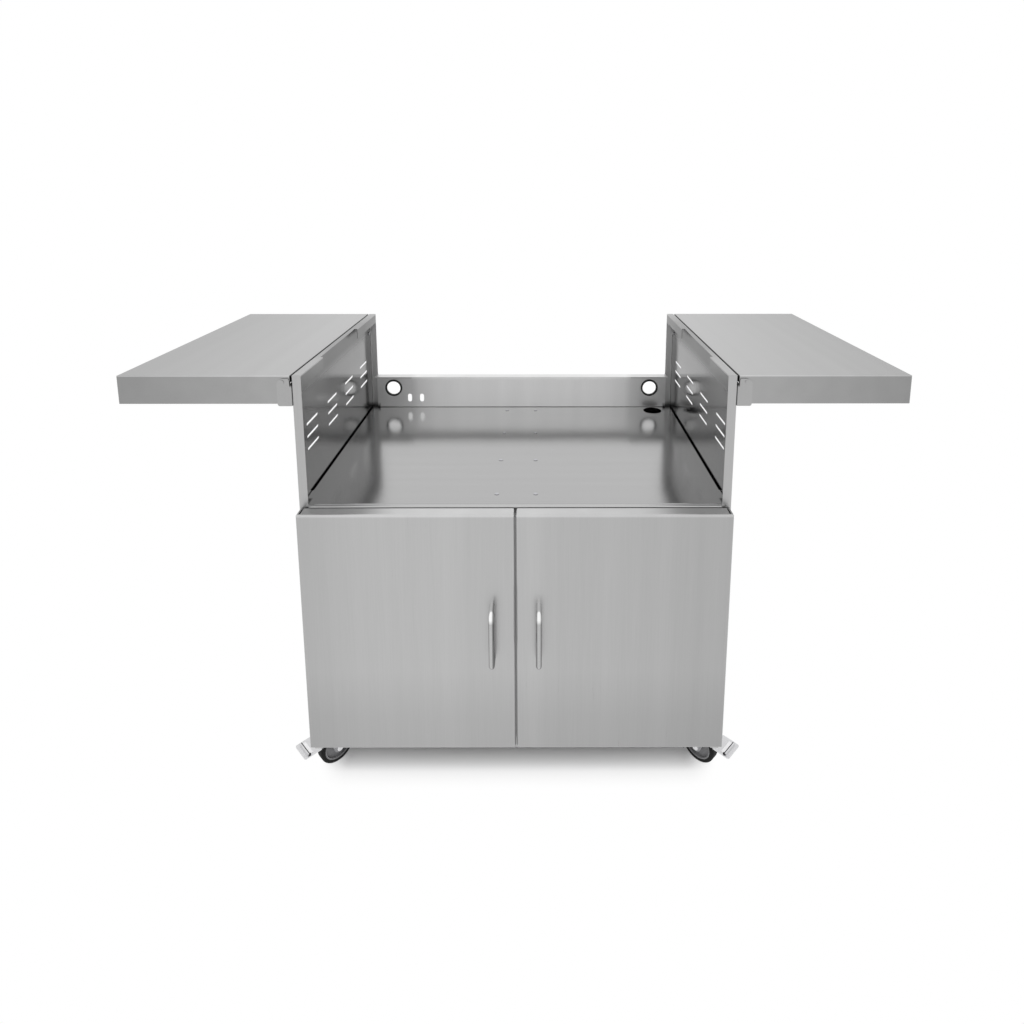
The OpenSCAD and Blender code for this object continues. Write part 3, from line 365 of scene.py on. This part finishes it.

# Painted light brightens the rear flange, as if it caught the light of the room, and painted
# shade darkens it down in the deck's corner.
FOOT_SOFT = 0.012
flange_y = rear_y - 1.5 * SHEET
dim_inside(panel_steel, 1.35, (lip_x - SHEET, flange_y - SHEET, deck_z),
           (wall_x, rear_y, panel_top - SHEET), (0.002, CRISP, CRISP))
dim_inside(panel_steel, 0.15, (lip_x - SHEET, flange_y - 0.01, deck_z - 0.02),
           (wall_x - 0.5 * SHEET, rear_y, deck_z + 0.014), (CRISP, CRISP, FOOT_SOFT))
finish(panel_steel, "side_panel_left", "side_panel_right")


# Deck and front rail: folded sheet that closes the bottom of the bay. The deck is
# smooth enough to mirror the rear rail and the side panels.
ACROSS = (9.0, 900.0, 900.0)
deck_steel = sheet_steel("deck_steel", 0.44, 0.165, ACROSS, spread=0.025)
DECK_BAND = 0.01


def dim_deck(share, low, high, soft=(CRISP, CRISP)):
    """Paints shade into the deck's top inside a rectangle and its mirror image; a share over 1
    paints light.
    """
    dim_inside(deck_steel, share, (*low, deck_z - DECK_BAND), (*high, deck_z + DECK_BAND),
               (*soft, CRISP))


# Painted shade on the edge along the gap at each wall and on the deck's front and rear
# corners, and a painted highlight on the line where the deck meets the rear rail.
GAP_EDGE = 0.0042
GAP_START = 0.069
FRONT_CORNER_W, FRONT_CORNER_L = 0.014, 0.036
REAR_CORNER_W, REAR_CORNER_L = 0.025, 0.03
RAIL_FLANGE = 0.026
bay_x = wall_x - SHEET
beyond_x = bay_x + 0.01
rail_low, rail_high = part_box("back_rail")
rail_face = rail_low[1] + RAIL_FLANGE
dim_deck(0.1, (bay_x - GAP_EDGE, front_y + GAP_START), (beyond_x, rear_y - 0.02))
dim_deck(0.2, (bay_x - FRONT_CORNER_W, front_y - 0.002),
         (beyond_x, front_y + FRONT_CORNER_L), (0.003, 0.004))
dim_deck(0.12, (bay_x - REAR_CORNER_W, rear_y - REAR_CORNER_L), (beyond_x, rear_y), (0.004, 0.02))
dim_deck(1.3, (-lip_x, rail_face - 0.008), (lip_x - 0.03, rail_face + 0.001), (0.02, 0.003))
finish(deck_steel, "deck")
rail_strip_steel = sheet_steel("rail_strip_steel", 0.52, 0.3, ACROSS)
finish(rail_strip_steel, "front_rail")
inner_steel = sheet_steel("inner_steel", 0.42, 0.3, ACROSS)
finish(inner_steel, "deck_stiffener", "back_panel", "bottom_pan")
finish(inner_steel, "base_rail_left", "base_rail_right")


# Rear rail: the same sheet with a coarser finish, folded with a flange and a lip along
# its top, and punched with two hose holes and two oblong holes.
rail_steel = sheet_steel("rail_steel", 0.97, 0.35, UPRIGHT)
LIP_HALF = 0.295
RAIL_TOP = 0.012
PAST_ALL = 1.0

# Painted light and shade: brightest where its lip ends, and darker toward the walls.
# Painted shade on the strip under its top beside the lip, its back, its top face, and
# the corners where it meets the deck.
shade_along(rail_steel, "X", [(0.0, 0.93), (0.15, 0.93), (LIP_HALF - 0.015, 1.0),
                              (LIP_HALF + 0.005, 0.86), (0.394, 0.8)], mirror=True)
dim_inside(rail_steel, 0.62, (LIP_HALF, rail_low[1] + 0.01, rail_high[2] - RAIL_TOP),
           (PAST_ALL, rail_face + 0.5 * SHEET, rail_high[2] - SHEET), (CRISP, CRISP, 0.003))
dim_inside(rail_steel, 0.47, (-PAST_ALL, rail_face + 0.6 * SHEET, rail_low[2] - SHEET),
           (PAST_ALL, rail_high[1] + SHEET, rail_high[2] - SHEET))
dim_inside(rail_steel, 0.56, (-PAST_ALL, rail_low[1] - SHEET, rail_high[2] - 0.1 * SHEET),
           (PAST_ALL, rail_high[1], rail_high[2] + 0.01))
dim_inside(rail_steel, 0.12, (lip_x - 0.008, rail_low[1], deck_z - 0.02),
           (wall_x, rail_high[1] + SHEET, deck_z + 0.014), (0.004, CRISP, FOOT_SOFT))
finish(rail_steel, "back_rail")


# Screws, bolts and pins: turned or pressed steel with bright zinc plating. They hold
# the deck, the shelf brackets, the hinges and the casters.
def plated(name, tone, roughness):
    """Bright plating with a fine even mottle."""
    material, tree, shader = new_material(name, tone, roughness, metallic=1.0)
    grain(tree, shader, (500.0, 500.0, 500.0), tone, spread=0.05, depth=0.05)
    return material


# Painted shade: in the slit between a panel and its shelf bracket the screws are darkened, as
# they get almost no light.
bright_zinc = plated("bright_zinc", (0.5, 0.5, 0.52), 0.25)
SLIT_DEPTH = 0.03
SCREW_SLIT = 0.0045
dim_inside(bright_zinc, 0.05, (bay_x, front_y - 0.01, panel_top - SLIT_DEPTH),
           (wall_x + SCREW_SLIT, front_y + 0.05, panel_top + SHEET))
finish(bright_zinc, "deck_screws", "bracket_screws")
finish(bright_zinc, "hinge_brackets", "hinge_pins", "caster_bolts")


# Hose grommets: black rubber rings, moulded with a groove all round and pressed into
# the two hose holes of the rear rail.
SKIN_SWING = 0.2
SKIN_RELIEF = 0.0004


def moulded(name, tone, roughness, size, depth):
    """Moulded rubber or plastic with a fine pebbled skin; size is its pebbles per metre."""
    material, tree, shader = new_material(name, tone, roughness)
    at = add_node(tree, "ShaderNodeTexCoord")
    skin = add_node(tree, "ShaderNodeTexNoise")
    skin.inputs["Scale"].default_value = size
    skin.inputs["Detail"].default_value = 2.0
    tree.links.new(at.outputs["Object"], skin.inputs["Vector"])
    ramp = add_node(tree, "ShaderNodeValToRGB")
    darkest, brightest = ramp.color_ramp.elements
    darkest.color = (*[c * (1.0 - SKIN_SWING) for c in tone], 1.0)
    brightest.color = (*[c * (1.0 + SKIN_SWING) for c in tone], 1.0)
    tree.links.new(skin.outputs["Fac"], ramp.inputs["Fac"])
    tree.links.new(ramp.outputs["Color"], shader.inputs["Base Color"])
    relief = add_node(tree, "ShaderNodeBump")
    relief.inputs["Strength"].default_value = depth
    relief.inputs["Distance"].default_value = SKIN_RELIEF
    tree.links.new(skin.outputs["Fac"], relief.inputs["Height"])
    tree.links.new(relief.outputs[0], shader.inputs["Normal"])
    return material


black_rubber = moulded("black_rubber", (0.012, 0.012, 0.012), 0.55, 700.0, 0.3)
finish(black_rubber, "hose_grommets")


# Shelf brackets: pressed steel plates, screwed to the side panels, with pivot pins
# ground flush and lock pins that hold the shelf level.
bracket_steel = sheet_steel("bracket_steel", 0.4, 0.3, (300.0, 300.0, 300.0))
bracket_shader = bracket_steel.node_tree.nodes["Principled BSDF"]
bracket_shader.inputs["Specular Tint"].default_value = (0.3, 0.3, 0.3, 1.0)

# Painted shade in the same slit at the front brackets, and on the top edge that the shelf shades.
BRACKET_SLIT = 0.0038
BRACKET_SLIT_DEPTH = 0.022
BRACKET_W = 0.022
BRACKET_EDGE = 0.0045
dim_inside(bracket_steel, 0.1, (bay_x, front_y - 0.01, panel_top - BRACKET_SLIT_DEPTH),
           (wall_x + BRACKET_SLIT, 0.0, panel_top + SHEET), (0.0006, CRISP, 0.004))
dim_inside(bracket_steel, 0.5, (bay_x, front_y - 0.01, panel_top - BRACKET_EDGE),
           (wall_x + BRACKET_W, 0.0, panel_top + SHEET), (0.002, CRISP, 0.001))
finish(bracket_steel, "shelf_brackets_left", "shelf_brackets_right")
finish(bracket_steel, "shelf_pivot_pins", "shelf_lock_pins")


# Doors: folded pans of stainless sheet with a vertical grain. A channel, the hinge
# plates and the magnet strike are fixed inside them.
door_low, door_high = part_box("door_left")
door_top = door_high[2]

# Painted shade darkens them toward the foot and the outer sides, and a painted highlight
# brightens the folded top edge.
door_steel = sheet_steel("door_steel", 0.86, 0.3, UPRIGHT)
shade_along(door_steel, "Z", [(0.13, 0.48), (0.2, 0.5), (0.3, 0.56), (door_top - 0.0055, 0.56),
                              (door_top - 0.003, 0.72)])
shade_along(door_steel, "X", [(-0.41, 0.9), (-0.25, 1.0), (0.0, 0.98), (0.25, 0.9), (0.41, 0.84)])
finish(door_steel, "door_left", "door_right")
for side in ("left", "right"):
    finish(inner_steel, f"door_stiffener_{side}")
    finish(bright_zinc, f"hinge_plates_{side}", f"magnet_strike_{side}", f"handle_screws_{side}")

# A thin hem, folded back on the free edge of each door, shows in the slit between them.
HEM_T = 0.0009
HEM_W = 0.016
HEM_INSET = 0.003
HEM_SHORT = 0.012
HEM_ROUND = 0.3
HEM_PROUD = 0.45
free_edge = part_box("door_right")[0][0]
hem_steel = sheet_steel("hem_steel", 0.4, 0.3, UPRIGHT)
for side, facing in (("left", -1.0), ("right", 1.0)):
    hem_bm = bmesh.new()
    bmesh.ops.create_cube(hem_bm, size=1.0)
    bmesh.ops.scale(hem_bm, verts=hem_bm.verts,
                    vec=(HEM_T, HEM_W, door_top - door_low[2] - HEM_SHORT))
    bmesh.ops.bevel(hem_bm, geom=hem_bm.edges[:], offset=HEM_ROUND * HEM_T, segments=2,
                    profile=0.5, affect="EDGES", material=-1)
    bmesh.ops.translate(hem_bm, verts=hem_bm.verts,
                        vec=(facing * (free_edge - HEM_PROUD * HEM_T),
                             door_low[1] + HEM_INSET + 0.5 * HEM_W,
                             0.5 * (door_top + door_low[2])))
    hem_mesh = bpy.data.meshes.new(f"door_hem_{side}")
    hem_bm.to_mesh(hem_mesh)
    hem_bm.free()
    hem = bpy.data.objects.new(f"door_hem_{side}", hem_mesh)
    scene.collection.objects.link(hem)
    hem_mesh.materials.append(hem_steel)
    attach(hem, f"{side}_door")
catch_plastic = moulded("catch_plastic", (0.06, 0.06, 0.06), 0.5, 500.0, 0.2)
finish(catch_plastic, "magnet_catches")


# Door handles: one stainless bar on each door, bent at both ends, polished, and held
# by two screws from behind the door.
handle_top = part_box("handle_left")[1][2]

# Painted highlight: both bars are brighter in their top bend. Painted shade darkens the left
# one toward the slit between the doors, and the right one toward both of its sides.
bar_steel = sheet_steel("bar_steel", 0.97, 0.2, (900.0, 900.0, 30.0))
shade_along(bar_steel, "Z", [(handle_top - 0.022, 0.5), (handle_top - 0.013, 1.0)])
shade_along(bar_steel, "X", [(-0.05, 0.6), (-0.0475, 0.95), (-0.0437, 1.0), (-0.0417, 0.35),
                             (-0.039, 0.35), (0.039, 0.4), (0.0435, 1.0), (0.0455, 1.0),
                             (0.05, 0.4)])
finish(bar_steel, "handle_left", "handle_right")


# Shelves: folded pans of stainless sheet with the grain from front to rear, and a hat
# channel that stiffens them from below.
shelf_low, shelf_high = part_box("shelf_right")
shelf_top = shelf_high[2]

# Painted shade darkens them toward the outer ends, a painted highlight draws a fine line
# along the folded top edge, and painted shade darkens the edge in the gap beside the panel.
shelf_steel = sheet_steel("shelf_steel", 0.62, 0.32, (900.0, 9.0, 900.0))
shade_along(shelf_steel, "X", [(0.45, 1.0), (0.62, 0.86), (0.73, 0.78)], mirror=True)
shade_along(shelf_steel, "Z", [(shelf_top - 0.003, 0.6), (shelf_top - 0.0022, 0.62),
                               (shelf_top - 0.0016, 1.0), (shelf_top - 0.0004, 1.0),
                               (shelf_top, 0.74)])
dim_inside(shelf_steel, GAP_SHADE, (shelf_low[0] - SHEET, shelf_low[1], shelf_top - GAP_DEPTH),
           (shelf_low[0] + 1.2 * SHEET, shelf_high[1], shelf_top + SHEET))
for side in ("left", "right"):
    finish(shelf_steel, f"shelf_{side}")
    finish(inner_steel, f"shelf_stiffener_{side}")


# Casters: plated fork and plate, grey moulded hub with a black rubber tyre, and a
# plated pedal on the two front ones.
caster_zinc = plated("caster_zinc", (0.32, 0.32, 0.33), 0.28)
axle_zinc = plated("axle_zinc", (0.85, 0.85, 0.86), 0.3)
hub_plastic = moulded("hub_plastic", (0.19, 0.19, 0.195), 0.45, 400.0, 0.15)
tyre_rubber = moulded("tyre_rubber", (0.005, 0.005, 0.005), 0.75, 600.0, 0.25)
tyre_shader = tyre_rubber.node_tree.nodes["Principled BSDF"]
tyre_shader.inputs["Specular IOR Level"].default_value = 0.25
pedal_steel = plated("pedal_steel", (0.72, 0.72, 0.73), 0.3)
for end in ("front", "rear"):
    for side in ("left", "right"):
        finish(caster_zinc, f"caster_plate_{end}_{side}", f"caster_fork_{end}_{side}")
        finish(axle_zinc, f"caster_axle_{end}_{side}")
        finish(hub_plastic, f"wheel_hub_{end}_{side}")
        finish(tyre_rubber, f"tyre_{end}_{side}")
finish(pedal_steel, "brake_pedal_left", "brake_pedal_right")


# Pedal grips: a bright pressed plate let into each brake pedal, with a black moulded strip
# along it that ends in a button at the front. The strip is painted shade: a dark piece put
# where the groove beside the pedal's rib is shaded.
PEDAL_REACH = 0.102
PEDAL_SEAT = 0.002
PLATE_LONG, PLATE_WIDE, PLATE_T = 0.035, 0.0066, 0.0005
PLATE_BACK = 0.017
PLATE_LIFT = 0.0001
SHADE_STRIP_LONG, SHADE_STRIP_WIDE, SHADE_STRIP_T = 0.042, 0.0026, 0.0012
SHADE_STRIP_BACK = 0.0125
SHADE_STRIP_LIFT = 0.0004
BUTTON_R, BUTTON_T = 0.0028, 0.0022
BUTTON_TAPER = 0.8
BUTTON_LIFT = 0.0009
BAR_ROUND = 0.3
PEDAL_TURN = {"left": -135.0, "right": -45.0}
grip_zinc = plated("grip_zinc", (0.92, 0.92, 0.93), 0.3)
shade_strip_black = moulded("shade_strip_black", (0.01, 0.01, 0.01), 0.7, 900.0, 0.25)


def rounded_bar(bm, length, width, height, centre):
    """A flat bar with rounded edges, added to a bmesh."""
    made = bmesh.ops.create_cube(bm, size=1.0)["verts"]
    bmesh.ops.scale(bm, vec=(width, length, height), verts=made)
    bmesh.ops.translate(bm, vec=centre, verts=made)
    edges = list(dict.fromkeys(edge for vert in made for edge in vert.link_edges))
    bmesh.ops.bevel(bm, geom=edges, offset=BAR_ROUND * height, segments=2, profile=0.5,
                    affect="EDGES", material=-1)


def place_on_pedal(bm, name, material, side):
    """Turns a mesh to the pedal's direction, and makes it a piece that the pedal carries."""
    plate_low, plate_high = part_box(f"caster_plate_front_{side}")
    bmesh.ops.rotate(bm, cent=(0.0, 0.0, 0.0), verts=bm.verts,
                     matrix=Matrix.Rotation(math.radians(PEDAL_TURN[side]), 3, "Z"))
    bmesh.ops.translate(bm, verts=bm.verts, vec=(
        (plate_low[0] + plate_high[0]) / 2.0, (plate_low[1] + plate_high[1]) / 2.0,
        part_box(f"brake_pedal_{side}")[0][2] + PEDAL_SEAT))
    mesh = bpy.data.meshes.new(name)
    bm.to_mesh(mesh)
    bm.free()
    mesh.materials.append(material)
    piece = bpy.data.objects.new(name, mesh)
    scene.collection.objects.link(piece)
    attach(piece, f"{side}_pedal")


for side, front in (("left", 1.0), ("right", -1.0)):
    plate_bm = bmesh.new()
    rounded_bar(plate_bm, PLATE_LONG, PLATE_WIDE, PLATE_T,
                (PEDAL_REACH - PLATE_BACK, 0.0, PLATE_LIFT))
    place_on_pedal(plate_bm, f"pedal_plate_{side}", grip_zinc, side)
    # Black strip: painted shade for the groove beside the pedal's rib, with a button at its front
    # end.
    shade_strip_bm = bmesh.new()
    shade_strip_x = PEDAL_REACH - SHADE_STRIP_BACK
    rounded_bar(shade_strip_bm, SHADE_STRIP_LONG, SHADE_STRIP_WIDE, SHADE_STRIP_T, (shade_strip_x, 0.0, SHADE_STRIP_LIFT))
    button = bmesh.ops.create_cone(shade_strip_bm, cap_ends=True, segments=24, radius1=BUTTON_R,
                                   radius2=BUTTON_TAPER * BUTTON_R, depth=BUTTON_T)["verts"]
    bmesh.ops.translate(shade_strip_bm, verts=button,
                        vec=(shade_strip_x, front * (SHADE_STRIP_LONG / 2.0 - BUTTON_R), BUTTON_LIFT))
    place_on_pedal(shade_strip_bm, f"pedal_shade_strip_{side}", shade_strip_black, side)
